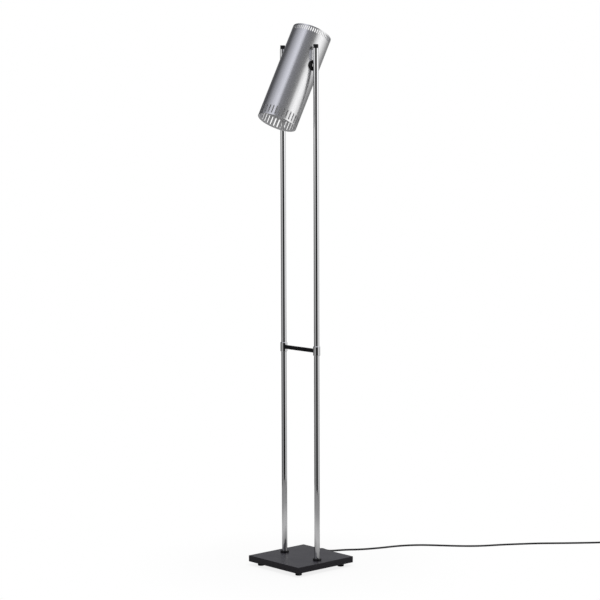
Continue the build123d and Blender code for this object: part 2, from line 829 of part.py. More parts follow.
def biarc(start, start_heading, end, end_heading):
    """Two arcs that join two points smoothly at their headings."""
    span = end - start
    both = start_heading + end_heading
    spread = 2 * (1 - start_heading.dot(end_heading))
    along = span.dot(both)
    reach = (math.sqrt(along**2 + spread * span.dot(span)) - along) / spread
    joint = (start + end + (start_heading - end_heading) * reach) * 0.5
    joint_heading = end - end_heading * reach - (start + start_heading * reach)
    return [
        TangentArc(start, joint, tangent=start_heading),
        TangentArc(joint, end, tangent=joint_heading.normalized()),
    ]


def coil_stations():
    """Travels of the coil's quarter turns, counted both ways from the reversal."""
    quarter = math.pi / 2
    count = int(coil_angle / 2 / quarter)
    inner = [coil_angle / 2 + number * quarter for number in range(-count, count + 1)]
    return [0.0, *inner, coil_angle]


def coil_gap():
    """Least clear distance between turns, measured on points of the axis."""
    step = math.radians(5)
    apart = math.radians(180)
    travels = [number * step for number in range(int(coil_angle / step) + 1)]
    places = [coil_point(travel)[0] for travel in travels]
    least = min(
        (places[i] - places[k]).length
        for i in range(len(travels))
        for k in range(i)
        if travels[i] - travels[k] > apart
    )
    return least - cord_diameter


def cord_coil():
    stations = [coil_point(travel) for travel in coil_stations()]
    first, last = stations[0], stations[-1]
    edges = [Line(first[0] - first[1] * cord_diameter, first[0])]
    for (start, start_heading), (end, end_heading) in zip(stations, stations[1:]):
        edges += biarc(start, start_heading, end, end_heading)
    edges.append(Line(last[0], last[0] + last[1] * cord_diameter))
    path = Wire(edges)
    coil = swept_tube(path, cord_diameter)
    expected = math.pi * cord_diameter**2 / 4 * path.length
    print("coil length", round(path.length))
    print("coil volume against section times length", round(coil.volume / expected, 4))
    print("coil least gap", round(coil_gap(), 2))
    return coil


def coil_tie():
    """Strap round all the turns at one place of the coil."""
    travel = math.radians(tie_angle)
    outer_turn = coil_point(travel)[0]
    inner_turn = coil_point(travel + 2 * math.pi * int(coil_turns / 2))[0]
    flat_center = Vector(coil_center.X, coil_center.Y, 0)
    outer_radius = (Vector(outer_turn.X, outer_turn.Y, 0) - flat_center).length + cord_diameter / 2
    inner_radius = (Vector(inner_turn.X, inner_turn.Y, 0) - flat_center).length - cord_diameter / 2
    inside_low = math.sqrt(inner_radius**2 - (tie_width / 2) ** 2) - tie_gap
    inside_high = outer_radius + tie_gap
    floor_side = coil_center.Z - cord_diameter / 2 - tie_gap
    height = coil_layer_step + cord_diameter + 2 * tie_gap
    length = inside_high - inside_low
    middle = (inside_low + inside_high) / 2
    hole = Pos(middle, 0, floor_side) * Box(length, tie_width, height, align=STANDING)
    strap = Pos(middle, 0, floor_side - tie_thickness) * Box(
        length + 2 * tie_thickness, tie_width, height + 2 * tie_thickness, align=STANDING
    )
    strap = fillet(strap.edges().filter_by(Axis.Y), tie_thickness)
    turned_to = math.degrees(coil_start_angle - travel)
    return Pos(coil_center.X, coil_center.Y, 0) * Rot(0, 0, turned_to) * (strap - hole)


# Plug: a flat two-pin plug with a tapered boot, at the end of the coil

coil_end, coil_end_heading = coil_point(coil_angle)
plug_place = Plane(
    origin=coil_end + coil_end_heading * cord_diameter,
    x_dir=coil_end_heading,
    z_dir=coil_end_heading.cross(Vector(0, 0, 1)).cross(coil_end_heading),
).location


def plug_boot():
    taper = turned(
        (0, 0),
        (cord_diameter / 2 + plug_boot_wall, 0),
        (plug_boot_root / 2, plug_boot_length),
        (0, plug_boot_length),
    )
    return plug_place * ALONG_X * taper


def plug_body():
    back = plug_boot_length
    shoulder = back + plug_shoulder
    front = back + plug_length
    outline = Polyline(
        (back, -plug_back_width / 2),
        (shoulder, -plug_width / 2),
        (front, -plug_width / 2),
        (front, plug_width / 2),
        (shoulder, plug_width / 2),
        (back, plug_back_width / 2),
        close=True,
    )
    body = extrude(make_face(outline), plug_thickness / 2, both=True)
    body = fillet(body.edges().filter_by(Axis.Z), plug_edge)
    flat_faces = body.faces().sort_by(Axis.Z)
    body = chamfer(flat_faces[0].edges() + flat_faces[-1].edges(), plug_edge / 2)
    return plug_place * body


def plug_pins():
    pin = Pos(plug_boot_length + plug_length, 0, 0) * ALONG_X * rod(plug_pin_diameter, plug_pin_length)
    return [plug_place * Pos(0, side * plug_pin_spacing / 2, 0) * pin for side in (-1, 1)]


os.makedirs("parts", exist_ok=True)

save("base_plate", base_plate())
save("feet", *[Pos(x, y, 0) * foot() for x, y in foot_places])
save("foot_screws", *[Pos(x, y, 0) * foot_screw() for x, y in foot_places])
save_pair("pole", right_pole())
save_pair("pole_stud", right_pole_stud())
save("pole_washers", *both_sides(right_pole_washer()))
save("pole_nuts", *both_sides(right_pole_nut()))
save_pair("base_collar", right_base_collar())
save_pair("pole_cap", right_pole_cap())
save("crossbar", crossbar())
save_pair("sleeve", right_sleeve())
save("sleeve_grub_screws", *both_sides(right_grub_screw()))
save_pair("pivot_block", right_pivot_block())
save_pair("spindle", right_spindle())
save("right_stop_ring", right_stop_ring())
save("left_friction_ring", left_friction_ring())
save("spring_washers", *both_sides(right_spring_washer()))
save("pivot_nuts", *both_sides(right_pivot_nut()))

save("shade", head_place * shade())
save_pair("pivot_disc", head_place * right_pivot_disc())
save_pair("inner_seat", head_place * right_inner_seat())
save("lamp_bridge", head_place * lamp_bridge())
save("stop_pin", head_place * stop_pin())
save("wire_grommet", head_place * wire_grommet())
save("holder_nipple", head_place * holder_nipple())
save("nipple_nut", head_place * nipple_nut())
save("holder_cap", head_place * holder_cap())
save("holder_core", head_place * holder_core())
save("center_contact", head_place * center_contact())
save("screw_shell", head_place * screw_shell())
save("holder_skirt", head_place * holder_skirt())
save("bulb_cap", head_place * bulb_cap())
save("bulb_glass", head_place * bulb_glass())
save("head_wire", head_place * head_wire())
save("wire_sleeve", head_place * wire_sleeve())

save("pole_wire", pole_wire())
save("cord_clamp", cord_clamp())
save("clamp_screws", *[Pos(x, y, 0) * clamp_screw() for x, y in clamp_screw_places])
save("strain_relief", strain_relief())
save("cord_inlet", cord_inlet())
save("cord", free_cord())
save("cord_coil", cord_coil())
save("coil_tie", coil_tie())
save("plug_boot", plug_boot())
save("plug_body", plug_body())
save("plug_pins", *plug_pins())
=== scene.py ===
import json
import math

import bmesh
import bpy
from mathutils import Matrix, Vector


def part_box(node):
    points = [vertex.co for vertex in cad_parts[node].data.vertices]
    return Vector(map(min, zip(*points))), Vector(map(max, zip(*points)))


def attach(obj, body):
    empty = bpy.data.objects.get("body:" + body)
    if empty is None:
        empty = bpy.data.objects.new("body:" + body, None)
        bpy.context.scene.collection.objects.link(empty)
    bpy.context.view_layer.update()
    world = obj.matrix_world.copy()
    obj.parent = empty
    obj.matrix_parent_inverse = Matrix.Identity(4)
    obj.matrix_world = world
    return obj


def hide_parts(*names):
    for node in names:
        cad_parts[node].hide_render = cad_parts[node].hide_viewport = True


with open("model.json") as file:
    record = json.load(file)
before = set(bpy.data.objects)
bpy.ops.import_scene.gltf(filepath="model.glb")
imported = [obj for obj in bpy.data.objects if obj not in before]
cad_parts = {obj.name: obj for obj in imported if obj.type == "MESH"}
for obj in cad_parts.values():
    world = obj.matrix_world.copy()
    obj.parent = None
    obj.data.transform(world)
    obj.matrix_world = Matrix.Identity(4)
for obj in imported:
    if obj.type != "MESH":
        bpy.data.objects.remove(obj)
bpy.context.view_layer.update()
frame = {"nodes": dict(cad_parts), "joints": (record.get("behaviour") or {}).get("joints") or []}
nodes = frame["nodes"]

# Camera: a long lens at chest height, some five metres off the corner of the base.
# It looks a little down, so that the top of the base just shows.

camera_place = Vector((3.7416, -3.3490, 1.1903))
camera_heading = math.radians(138.168)
camera_pitch = math.radians(-5.656)
camera_roll = math.radians(-0.188)
camera_lens = 118.18
camera_film = 36.0

camera_data = bpy.data.cameras.new("camera")
camera_data.sensor_width = camera_film
camera_data.lens = camera_lens
camera = bpy.data.objects.new("camera", camera_data)
bpy.context.scene.collection.objects.link(camera)
camera.matrix_world = (
    Matrix.Translation(camera_place)
    @ Matrix.Rotation(camera_heading - math.pi / 2, 4, "Z")
    @ Matrix.Rotation(math.pi / 2 + camera_pitch, 4, "X")
    @ Matrix.Rotation(camera_roll, 4, "Z")
)
bpy.context.scene.camera = camera
bpy.context.scene.view_settings.view_transform = "Standard"

# Studio: a room with a wide soft box on the right, a weaker one on the left and a dark gap behind the
# camera, which only polish and gloss show. All other light is plain, and the floor is a white disc that
# polish sees with painted shade round the base.


class Value:
    """A socket of a shader tree that can be added, multiplied and so on like a number."""

    def __init__(self, tree, socket=None):
        self.tree = tree
        self.socket = socket

    def node(self, kind, settings=None, inputs=None, output=0):
        """Adds a node with its settings, sets or links its sockets, and gives one of its outputs."""
        made = self.tree.nodes.new(kind)
        for name, setting in (settings or {}).items():
            if name == "stops":
                ramp = made.color_ramp
                while len(ramp.elements) < len(setting):
                    ramp.elements.new(1.0)
                for element, (place, level) in zip(ramp.elements, setting):
                    element.position = place
                    element.color = (level, level, level, 1.0)
            else:
                setattr(made, name, setting)
        for name, value in (inputs or {}).items():
            if isinstance(value, Value):
                self.tree.links.new(value.socket, made.inputs[name])
            else:
                made.inputs[name].default_value = value
        return Value(self.tree, made.outputs[output] if made.outputs else None)

    def math(self, operation, first, second):
        return self.node("ShaderNodeMath", {"operation": operation}, {0: first, 1: second})

    def __add__(self, other):
        return self.math("ADD", self, other)

    def __sub__(self, other):
        return self.math("SUBTRACT", self, other)

    def __mul__(self, other):
        return self.math("MULTIPLY", self, other)

    def __rsub__(self, other):
        return self.math("SUBTRACT", other, self)

    __radd__ = __add__
    __rmul__ = __mul__


def rise(value, low, high, start=0.0, end=1.0):
    """Goes softly from start to end while a value climbs from low to high."""
    return value.node(
        "ShaderNodeMapRange",
        {"interpolation_type": "SMOOTHSTEP"},
        {0: value, 1: low, 2: high, 3: start, 4: end},
    )


def tones_by(value, stops):
    """A grey tone by a value from 0 to 1, through stops of place and tone."""
    return value.node("ShaderNodeValToRGB", {"stops": stops}, {0: value})


def mixed(share, first, second):
    """A colour that goes from the first to the second as the share goes from 0 to 1."""
    first, second = [
        colour if isinstance(colour, Value) else (*colour, 1.0) for colour in (first, second)
    ]
    return share.node("ShaderNodeMix", {"data_type": "RGBA"}, {0: share, 6: first, 7: second}, output=2)


def length_of(place):
    """How far a place is from the origin."""
    return place.node("ShaderNodeVectorMath", {"operation": "LENGTH"}, {0: place}, output="Value")


light_level = 0.50
white = (1.0, 1.0, 1.0)
turn_degrees = 360.0

# Tones of the walls by compass angle, in degrees from X towards Y: low, at eye level and high up.
# The camera stands at -42, so that 48 is on its right, -132 on its left and 138 behind the lamp.
back_wall = [(80, 0.74), (92, 0.53), (106, 0.36), (138, 0.48), (160, 0.18), (180, 0.17)]
low_left = [(-180, 0.17), (-147, 0.24), (-120, 0.44), (-97, 0.66), (-74, 0.72)]
low_gap = [(-66, 0.02), (-4, 0.02)]
low_right = [(6, 0.90), (18, 1.28), (44, 1.28), (56, 1.14), (66, 1.04)]
eye_left = [(-180, 0.17), (-150, 0.35), (-132, 0.70), (-108, 0.94), (-91, 0.94)]
eye_gap = [(-81, 0.08), (-5, 0.05)]
eye_right = [(4, 1.12), (14, 1.31), (44, 1.27), (56, 1.12), (66, 1.00)]
high_left = [(-180, 0.06), (-165, 0.08), (-143, 0.32), (-116, 0.54), (-91, 0.81), (-71, 0.95)]
high_gap = [(-59, 0.225), (-40, 0.205), (0, 0.205)]
high_right = [(12, 0.97), (22, 1.16), (40, 1.26), (66, 0.92), (84, 1.10)]
high_back = [(102, 0.80), (120, 0.42), (138, 0.45), (160, 0.12), (180, 0.06)]
ceiling_tone = 0.70
skirting_tone = 0.42
far_floor_tone = 0.46

# Degrees above the horizon between which one height of the room passes into the next
eye_angles = (-3.4, 1.0)
high_angles = (7.0, 13.0)
ceiling_angles = (52.0, 78.0)
skirting_angles = (-14.0, 3.0)
far_floor_angles = (-28.0, -15.0)

# High up, the light turns a little blue towards the left
cool_light = (1.0, 1.012, 1.11)
cool_bearing = math.radians(-132)
cool_starts = -0.8
cool_ends = 0.3

world = bpy.data.worlds.new("studio")
bpy.context.scene.world = world
world.use_nodes = True
world.node_tree.nodes.clear()
room = Value(world.node_tree)
direction = room.node("ShaderNodeTexCoord")
across, along, height = [
    room.node("ShaderNodeSeparateXYZ", inputs={0: direction}, output=axis) for axis in range(3)
]
bearing = room.math("ARCTAN2", along, across) * (1 / (2 * math.pi)) + 0.5


def wall(*stretches):
    """The tone of the walls in a direction, from stretches of compass angles and tones."""
    stops = [(0.5 + angle / turn_degrees, tone) for stretch in stretches for angle, tone in stretch]
    return tones_by(bearing, stops)


def climb(angles, start=0.0):
    """Goes from start to 1 while a direction climbs from one angle above the horizon to the other."""
    low, high = [math.sin(math.radians(angle)) for angle in angles]
    return rise(height, low, high, start)


level_with_eye = climb(eye_angles)
above = climb(high_angles)
overhead = climb(ceiling_angles)
off_floor = climb(skirting_angles, skirting_tone)
near_floor = climb(far_floor_angles)
low_walls = wall(low_left, low_gap, low_right, back_wall) * off_floor
eye_walls = wall(eye_left, eye_gap, eye_right, back_wall)
high_walls = wall(high_left, high_gap, high_right, high_back)
lower_room = low_walls * near_floor + (1 - near_floor) * far_floor_tone
middle_room = lower_room * (1 - level_with_eye) + eye_walls * level_with_eye
walls = middle_room * (1 - above) + high_walls * above
tone = walls * (1 - overhead) + overhead * ceiling_tone
seen_by_camera = room.node("ShaderNodeLightPath", output="Is Camera Ray")
seen_in_gloss = room.node("ShaderNodeLightPath", output="Is Glossy Ray")
seen_in_glass = room.node("ShaderNodeLightPath", output="Is Transmission Ray")
level = tone * seen_in_gloss + (1 - seen_in_gloss) * light_level
open_view = room.math("MAXIMUM", seen_by_camera, seen_in_glass)
brightness = level * (1 - open_view) + open_view
leftward = across * math.cos(cool_bearing) + along * math.sin(cool_bearing)
coolness = rise(leftward, cool_starts, cool_ends) * above * seen_in_gloss
tint = mixed(coolness, white, cool_light)
background = room.node("ShaderNodeBackground", inputs={"Color": tint, "Strength": brightness})
room.node("ShaderNodeOutputWorld", inputs={"Surface": background})

floor_radius = 1.09
floor_segments = 128
floor_pale = 0.85
floor_white = (0.95, 0.95, 0.95)
# In polish the floor shows painted shade by distance from the base: a painted shadow darkest right
# round the base, then grey rings further out, in place of the floor's own lit tone.
floor_shade_by_radius = [(0.12, 0.24), (0.22, 0.32), (0.40, 0.58), (0.52, 0.56), (0.75, 0.36), (1.09, 0.30)]
shadow_share = 0.16
shadow_near = 0.16
shadow_far = 0.50

floor_mesh = bpy.data.meshes.new("floor")
bm = bmesh.new()
bmesh.ops.create_circle(bm, cap_ends=True, segments=floor_segments, radius=floor_radius)
bm.to_mesh(floor_mesh)
bm.free()
floor = bpy.data.objects.new("floor", floor_mesh)
bpy.context.scene.collection.objects.link(floor)

floor_paint = bpy.data.materials.new("floor_paint")
floor_paint.use_nodes = True
floor_paint.node_tree.nodes.clear()
ground = Value(floor_paint.node_tree)
distance = length_of(ground.node("ShaderNodeTexCoord", output="Object"))
mirrored = ground.node("ShaderNodeLightPath", output="Is Glossy Ray")
painted_shade_rings = [(radius / floor_radius, level) for radius, level in floor_shade_by_radius]
painted_mirrored_shade = tones_by(distance * (1 / floor_radius), painted_shade_rings)
floor_tone = painted_mirrored_shade * mirrored + (1 - mirrored) * floor_pale
lit = ground.node("ShaderNodeBsdfDiffuse", inputs={"Color": floor_tone})
paper = ground.node("ShaderNodeEmission", inputs={"Color": (*white, 1.0), "Strength": 1.0})
shadowed = ground.node("ShaderNodeBsdfDiffuse", inputs={"Color": (*floor_white, 1.0)})
fading = rise(distance, shadow_near, shadow_far, shadow_share, 0.0)
shown = ground.node("ShaderNodeMixShader", inputs={0: fading, 1: paper, 2: shadowed})
eye = ground.node("ShaderNodeLightPath", output="Is Camera Ray")
floor_look = ground.node("ShaderNodeMixShader", inputs={0: eye, 1: lit, 2: shown})
ground.node("ShaderNodeOutputMaterial", inputs={"Surface": floor_look})
floor_mesh.materials.append(floor_paint)

key_place = Vector((1.2, -0.4, 5.0))
key_aim = Vector((0.0, 0.0, 0.0))
key_width = 3.6
key_power = 135.0

key_data = bpy.data.lights.new("key", "AREA")
key_data.shape = "DISK"
key_data.size = key_width
key_data.energy = key_power
key = bpy.data.objects.new("key", key_data)
key.visible_glossy = False
key.visible_camera = False
bpy.context.scene.collection.objects.link(key)
key.location = key_place
key.rotation_mode = "QUATERNION"
key.rotation_quaternion = (key_aim - key_place).to_track_quat("-Z", "Y")

# Base plate: a square of thick steel plate with its edges broken, powder coated satin black.
# The poles are bolted through it, and the cord runs in a groove underneath.


def bare_finish(name, metallic=0.0, specular=0.5):
    """A material with the values that don't vary, its shader and a start for its nodes."""
    material = bpy.data.materials.new(name)
    material.use_nodes = True
    shader = material.node_tree.nodes["Principled BSDF"]
    shader.inputs["Metallic"].default_value = metallic
    shader.inputs["Specular IOR Level"].default_value = specular
    return material, shader, Value(material.node_tree)


def drive(shader, socket, value):
    """Lets a value that changes over the surface feed one of the shader's sockets."""
    value.tree.links.new(value.socket, shader.inputs[socket])


def grain(start, scale, detail=2.0, stretch=(1.0, 1.0, 1.0), place=None):
    """Noise from 0 to 1 over the piece, finer as scale grows, drawn out where stretch is small."""
    place = place or start.node("ShaderNodeTexCoord", output="Object")
    stretched = start.node("ShaderNodeMapping", inputs={"Vector": place, "Scale": stretch})
    inputs = {"Vector": stretched, "Scale": scale, "Detail": detail}
    return start.node("ShaderNodeTexNoise", inputs=inputs, output="Fac")


def between(value, low, high):
    """Goes from low to high as a value goes from 0 to 1."""
    return value * (high - low) + low


def relief(shader, height, depth):
    """Bumps of a real depth in metres, from a height of 0 to 1."""
    bump = height.node("ShaderNodeBump", inputs={"Strength": 1.0, "Distance": depth, "Height": height})
    drive(shader, "Normal", bump)


def dress(material, *names):
    """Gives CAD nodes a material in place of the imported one."""
    for name in names:
        nodes[name].data.materials.clear()
        nodes[name].data.materials.append(material)


powder_coat, shader, start = bare_finish("powder_coat", specular=0.33)
orange_peel = grain(start, scale=1100.0)
patches = grain(start, scale=26.0, detail=4.0)
drive(shader, "Base Color", mixed(patches, (0.008, 0.0068, 0.0102), (0.012, 0.0102, 0.0145)))
drive(shader, "Roughness", between(patches, 0.27, 0.37) + between(orange_peel, 0.0, 0.06))
relief(shader, orange_peel, depth=0.00002)
dress(powder_coat, "base_plate")

# Feet: moulded rubber pads, each held by a pan screw that is sunk into it.
# The screws are zinc plated steel, and the same plate is on the other hidden fixings.


def mottled(
    name,
    dark,
    light,
    smooth,
    rough,
    scale,
    detail=3.0,
    stretch=(1.0, 1.0, 1.0),
    metallic=0.0,
    specular=0.5,
    skin=None,
    skin_depth=0.0,
):
    """A finish whose colour and roughness follow one noise, and whose bumps, if any, another one."""
    material, shader, start = bare_finish(name, metallic, specular)
    noise = grain(start, scale, detail, stretch)
    drive(shader, "Base Color", mixed(noise, dark, light))
    drive(shader, "Roughness", between(noise, smooth, rough))
    if skin:
        relief(shader, grain(start, **skin), skin_depth)
    return material


foot_rubber = mottled(
    "foot_rubber",
    dark=(0.009, 0.009, 0.009),
    light=(0.017, 0.017, 0.018),
    smooth=0.64,
    rough=0.80,
    scale=90.0,
    skin={"scale": 1700.0, "detail": 3.0},
    skin_depth=0.00005,
)
dress(foot_rubber, "feet", "wire_grommet")

zinc_plate, shader, start = bare_finish("zinc_plate", metallic=1.0)
crystals = grain(start, scale=800.0, detail=4.0)
stain = grain(start, scale=120.0, detail=3.0)
drive(shader, "Base Color", mixed(stain, (0.55, 0.55, 0.52), (0.68, 0.68, 0.67)))
drive(shader, "Roughness", between(crystals, 0.26, 0.42))
relief(shader, crystals, depth=0.00001)
dress(zinc_plate, "foot_screws", "left_pole_stud", "right_pole_stud", "pole_washers", "pole_nuts")

# Poles: drawn steel tubes, polished and chrome plated, each on a stud through the base.
# The sleeves that hold the crossbar have the same plating, and are locked by grub screws.

chrome_plate, shader, start = bare_finish("chrome_plate", metallic=1.0)
wiped = grain(start, scale=22.0, detail=5.0, stretch=(1.0, 1.0, 0.12))
drawn = grain(start, scale=900.0, stretch=(1.0, 1.0, 0.01))
drive(shader, "Base Color", mixed(wiped, (0.72, 0.72, 0.73), (0.76, 0.76, 0.77)))
drive(shader, "Roughness", between(wiped, 0.025, 0.075) + between(drawn, 0.0, 0.02))
dress(chrome_plate, "left_pole", "right_pole", "left_sleeve", "right_sleeve")
dress(zinc_plate, "sleeve_grub_screws")

# Collars and caps: moulded black plastic, pushed over the foot and into the top of each pole.
# The collar hides the edge of the hole in the plate, and the cap has a spigot inside the tube.

touching = 1e-6
crease_angle = math.radians(32)


def rounded(bm, geom, radius, segments, affect="VERTICES"):
    """Rounds the corners of a flat outline, or the edges of a solid."""
    bmesh.ops.bevel(
        bm,
        geom=geom,
        offset=radius,
        offset_type="OFFSET",
        affect=affect,
        segments=segments,
        profile=0.5,
        material=-1,
    )


def turned(outline, steps=72):
    """A piece turned about its own Z from corners of its half section: radius, height and rounding."""
    bm = bmesh.new()
    corners = [bm.verts.new((radius, 0.0, height)) for radius, height, rounding in outline]
    bm.faces.new(corners)
    for corner, (radius, height, rounding) in zip(corners, outline):
        if rounding:
            rounded(bm, [corner], rounding, segments=4)
    bmesh.ops.delete(bm, geom=bm.faces[:], context="FACES_ONLY")
    on_axis = [edge for edge in bm.edges if max(vert.co.x for vert in edge.verts) < touching]
    bmesh.ops.delete(bm, geom=on_axis, context="EDGES")
    bmesh.ops.spin(
        bm,
        geom=bm.verts[:] + bm.edges[:],
        cent=(0, 0, 0),
        axis=(0, 0, 1),
        angle=2 * math.pi,
        steps=steps,
        use_merge=True,
    )
    bmesh.ops.remove_doubles(bm, verts=bm.verts, dist=touching)
    bmesh.ops.recalc_face_normals(bm, faces=bm.faces)
    return bm


def fitted(bm, place, name, *materials, body, slot, replaced):
    """Puts a finished shape in its place as a piece that rides on a body and stands for a CAD node."""
    mesh = bpy.data.meshes.new(name)
    bmesh.ops.transform(bm, matrix=place, verts=bm.verts)
    bm.to_mesh(mesh)
    bm.free()
    mesh.shade_smooth()
    mesh.set_sharp_from_angle(angle=crease_angle)
    for material in materials:
        mesh.materials.append(material)
    piece = bpy.data.objects.new(name, mesh)
    bpy.context.scene.collection.objects.link(piece)
    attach(piece, body)
    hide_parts(replaced)
    return piece


black_plastic = mottled(
    "black_plastic",
    dark=(0.006, 0.006, 0.007),
    light=(0.010, 0.010, 0.011),
    smooth=0.36,
    rough=0.50,
    scale=60.0,
    detail=4.0,
    specular=0.28,
    skin={"scale": 2200.0},
    skin_depth=0.00003,
)

pole_low, pole_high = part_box("right_pole")
pole_x = (pole_low.x + pole_high.x) / 2

collar_low, collar_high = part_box("right_base_collar")
collar_radius = collar_high.x - pole_x
collar_bore = 0.00705
collar_section = [
    (collar_bore, collar_low.z, 0.0),
    (collar_radius, collar_low.z, 0.0003),
    (collar_radius, collar_high.z, 0.0012),
    (collar_bore, collar_high.z, 0.0004),
]

cap_low, cap_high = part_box("right_pole_cap")
cap_radius = cap_high.x - pole_x
cap_crown = 0.0002
spigot_radius = 0.00545
cap_section = [
    (0.0, cap_low.z, 0.0),
    (spigot_radius, cap_low.z, 0.0006),
    (spigot_radius, pole_high.z, 0.0),
    (cap_radius, pole_high.z, 0.0002),
    (cap_radius, cap_high.z - cap_crown, 0.0012),
    (0.0, cap_high.z, 0.0),
]

for side, offset in (("left", -pole_x), ("right", pole_x)):
    for section, piece_name, node_name in (
        (collar_section, "_collar_ring", "_base_collar"),
        (cap_section, "_end_plug", "_pole_cap"),
    ):
        fitted(
            turned(section),
            Matrix.Translation((offset, 0.0, 0.0)),
            side + piece_name,
            black_plastic,
            body="stand",
            slot="black_plastic",
            replaced=side + node_name,
        )

# Crossbar: a steel rod in dull black lacquer that ties the poles together at mid height.
# Its ends sit in bores of the two sleeves.

black_lacquer = mottled(
    "black_lacquer",
    dark=(0.005, 0.005, 0.006),
    light=(0.009, 0.009, 0.010),
    smooth=0.54,
    rough=0.66,
    scale=70.0,
    detail=4.0,
    specular=0.08,
    skin={"scale": 500.0, "detail": 3.0, "stretch": (0.05, 1.0, 1.0)},
    skin_depth=0.00002,
)
dress(black_lacquer, "crossbar")

# Pivots: hollow spindles of turned metal that screw into blocks inside the poles. The shade turns on
# them between black discs outside and seats inside, clamped by spring washers and nuts.

turned_metal = mottled(
    "turned_metal",
    dark=(0.76, 0.76, 0.75),
    light=(0.84, 0.84, 0.83),
    smooth=0.42,
    rough=0.52,
    scale=900.0,
    detail=2.0,
    stretch=(6.0, 1.0, 1.0),
    metallic=0.2,
)
dress(turned_metal, "left_spindle", "right_spindle")
dress(black_plastic, "left_pivot_disc", "right_pivot_disc", "left_inner_seat", "right_inner_seat")
dress(zinc_plate, "left_pivot_block", "right_pivot_block", "right_stop_ring", "left_friction_ring")
dress(zinc_plate, "spring_washers", "pivot_nuts", "stop_pin")

# Shade: a length of aluminium tube, slotted at both ends, brushed round its axis and anodised clear.
# It is lacquered white inside, and turns with the discs and the lamp on the pivot between the poles.

shade_tilt = math.radians(28.0)
shade_pivot = frame["joints"][0]["pos_m"]
shade_outer_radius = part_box("shade")[1].x
shade_wall = 0.002
skin_depth = 0.0003
lacquer_dullness = 0.2
sawn_dullness = 0.3

satin_aluminium, shader, start = bare_finish("satin_aluminium")
upright = start.node(
    "ShaderNodeMapping",
    {"vector_type": "TEXTURE"},
    {
        "Vector": start.node("ShaderNodeTexCoord", output="Object"),
        "Location": shade_pivot,
        "Rotation": (-shade_tilt, 0.0, 0.0),
    },
)
flat = start.node("ShaderNodeVectorMath", {"operation": "MULTIPLY"}, {0: upright, 1: (1.0, 1.0, 0.0)})
from_axis = length_of(flat)
inside = start.math("LESS_THAN", from_axis, shade_outer_radius - shade_wall + skin_depth)
cut_edge = start.math("LESS_THAN", from_axis, shade_outer_radius - skin_depth) - inside
rings = grain(start, scale=40.0, detail=3.0, stretch=(1.0, 1.0, 110.0), place=upright)
hazy = grain(start, scale=16.0, detail=4.0)
outer = mixed(hazy, (0.735, 0.735, 0.742), (0.78, 0.78, 0.787))
# The walls of the slots get a darker colour: partly the duller sawn metal, partly painted shade inside
# the slots.
sawn_and_shaded = mixed(rings, (0.46, 0.46, 0.47), (0.54, 0.54, 0.55))
lacquer = mixed(hazy, (0.66, 0.66, 0.67), (0.71, 0.71, 0.72))
brushed = between(rings, 0.21, 0.29) + between(hazy, 0.0, 0.04)
drive(shader, "Base Color", mixed(inside, mixed(cut_edge, outer, sawn_and_shaded), lacquer))
drive(shader, "Metallic", 1 - inside)
drive(shader, "Roughness", brushed + inside * lacquer_dullness + cut_edge * sawn_dullness)
relief(shader, rings, depth=0.000004)
dress(satin_aluminium, "shade")

# Lamp holder: a black thermoset cap and fluted skirt round a glazed ceramic core, on a steel bridge.
# A brass screw shell and contact take the bulb, and a nipple and nut hold the cap to the bridge.

head_place = Matrix.Translation(shade_pivot) @ Matrix.Rotation(-shade_tilt, 4, "X")
nipple_bore = 0.00505
neck_radius = 0.008
holder_radius = 0.019
holder_wall = 0.002
slip_fit = 0.00005
shell_bore = 0.01415
skirt_radius = 0.017
bridge_height = 0.048
neck_end = 0.044
dome_shoulder = 0.036
dome_ceiling = 0.034
holder_parting = 0.026
core_seat = 0.0248
skirt_waist = 0.0100
skirt_end = -0.0060
flute_count = 48
flute_low = -0.004
flute_high = 0.008
flute_edge = 0.00022
flute_depth = 0.0005
near_enough = 0.0002
level_enough = 0.01

holder_cap_section = [
    (nipple_bore, bridge_height, 0.0),
    (neck_radius, bridge_height, 0.0008),
    (neck_radius, neck_end, 0.0012),
    (holder_radius, dome_shoulder, 0.003),
    (holder_radius, holder_parting, 0.0005),
    (holder_radius - holder_wall, holder_parting, 0.0),
    (holder_radius - holder_wall, dome_ceiling, 0.0),
    (nipple_bore, dome_ceiling, 0.0),
]
skirt_section = [
    (shell_bore, core_seat, 0.0),
    (holder_radius - holder_wall - slip_fit, core_seat, 0.0),
    (holder_radius - holder_wall - slip_fit, holder_parting, 0.0),
    (holder_radius, holder_parting, 0.0005),
    (skirt_radius, skirt_waist, 0.002),
    (skirt_radius, skirt_end, 0.0010),
    (shell_bore, skirt_end, 0.0004),
]

thermoset = mottled(
    "thermoset",
    dark=(0.019, 0.018, 0.018),
    light=(0.032, 0.030, 0.029),
    smooth=0.25,
    rough=0.35,
    scale=700.0,
)
fitted(
    turned(holder_cap_section),
    head_place,
    "holder_dome",
    thermoset,
    body="head",
    slot="holder_black",
    replaced="holder_cap",
)


def takes_flute(face):
    """True on the outside of the skirt where it is straight."""
    middle = face.calc_center_median()
    on_side = abs(math.hypot(middle.x, middle.y) - skirt_radius) < near_enough
    return on_side and abs(face.normal.z) < level_enough and flute_low < middle.z < flute_high


def face_angle(face):
    """Where a face is round the axis."""
    middle = face.calc_center_median()
    return math.atan2(middle.y, middle.x)


skirt = turned(skirt_section, steps=2 * flute_count)
straight = sorted(filter(takes_flute, skirt.faces), key=face_angle)
bmesh.ops.inset_individual(skirt, faces=straight[::2], thickness=flute_edge, depth=-flute_depth)
fitted(
    skirt,
    head_place,
    "fluted_skirt",
    thermoset,
    body="head",
    slot="holder_black",
    replaced="holder_skirt",
)
dress(zinc_plate, "lamp_bridge", "holder_nipple", "nipple_nut")

glazed_ceramic = mottled(
    "glazed_ceramic",
    dark=(0.81, 0.79, 0.73),
    light=(0.86, 0.84, 0.80),
    smooth=0.12,
    rough=0.20,
    scale=300.0,
)
dress(glazed_ceramic, "holder_core")

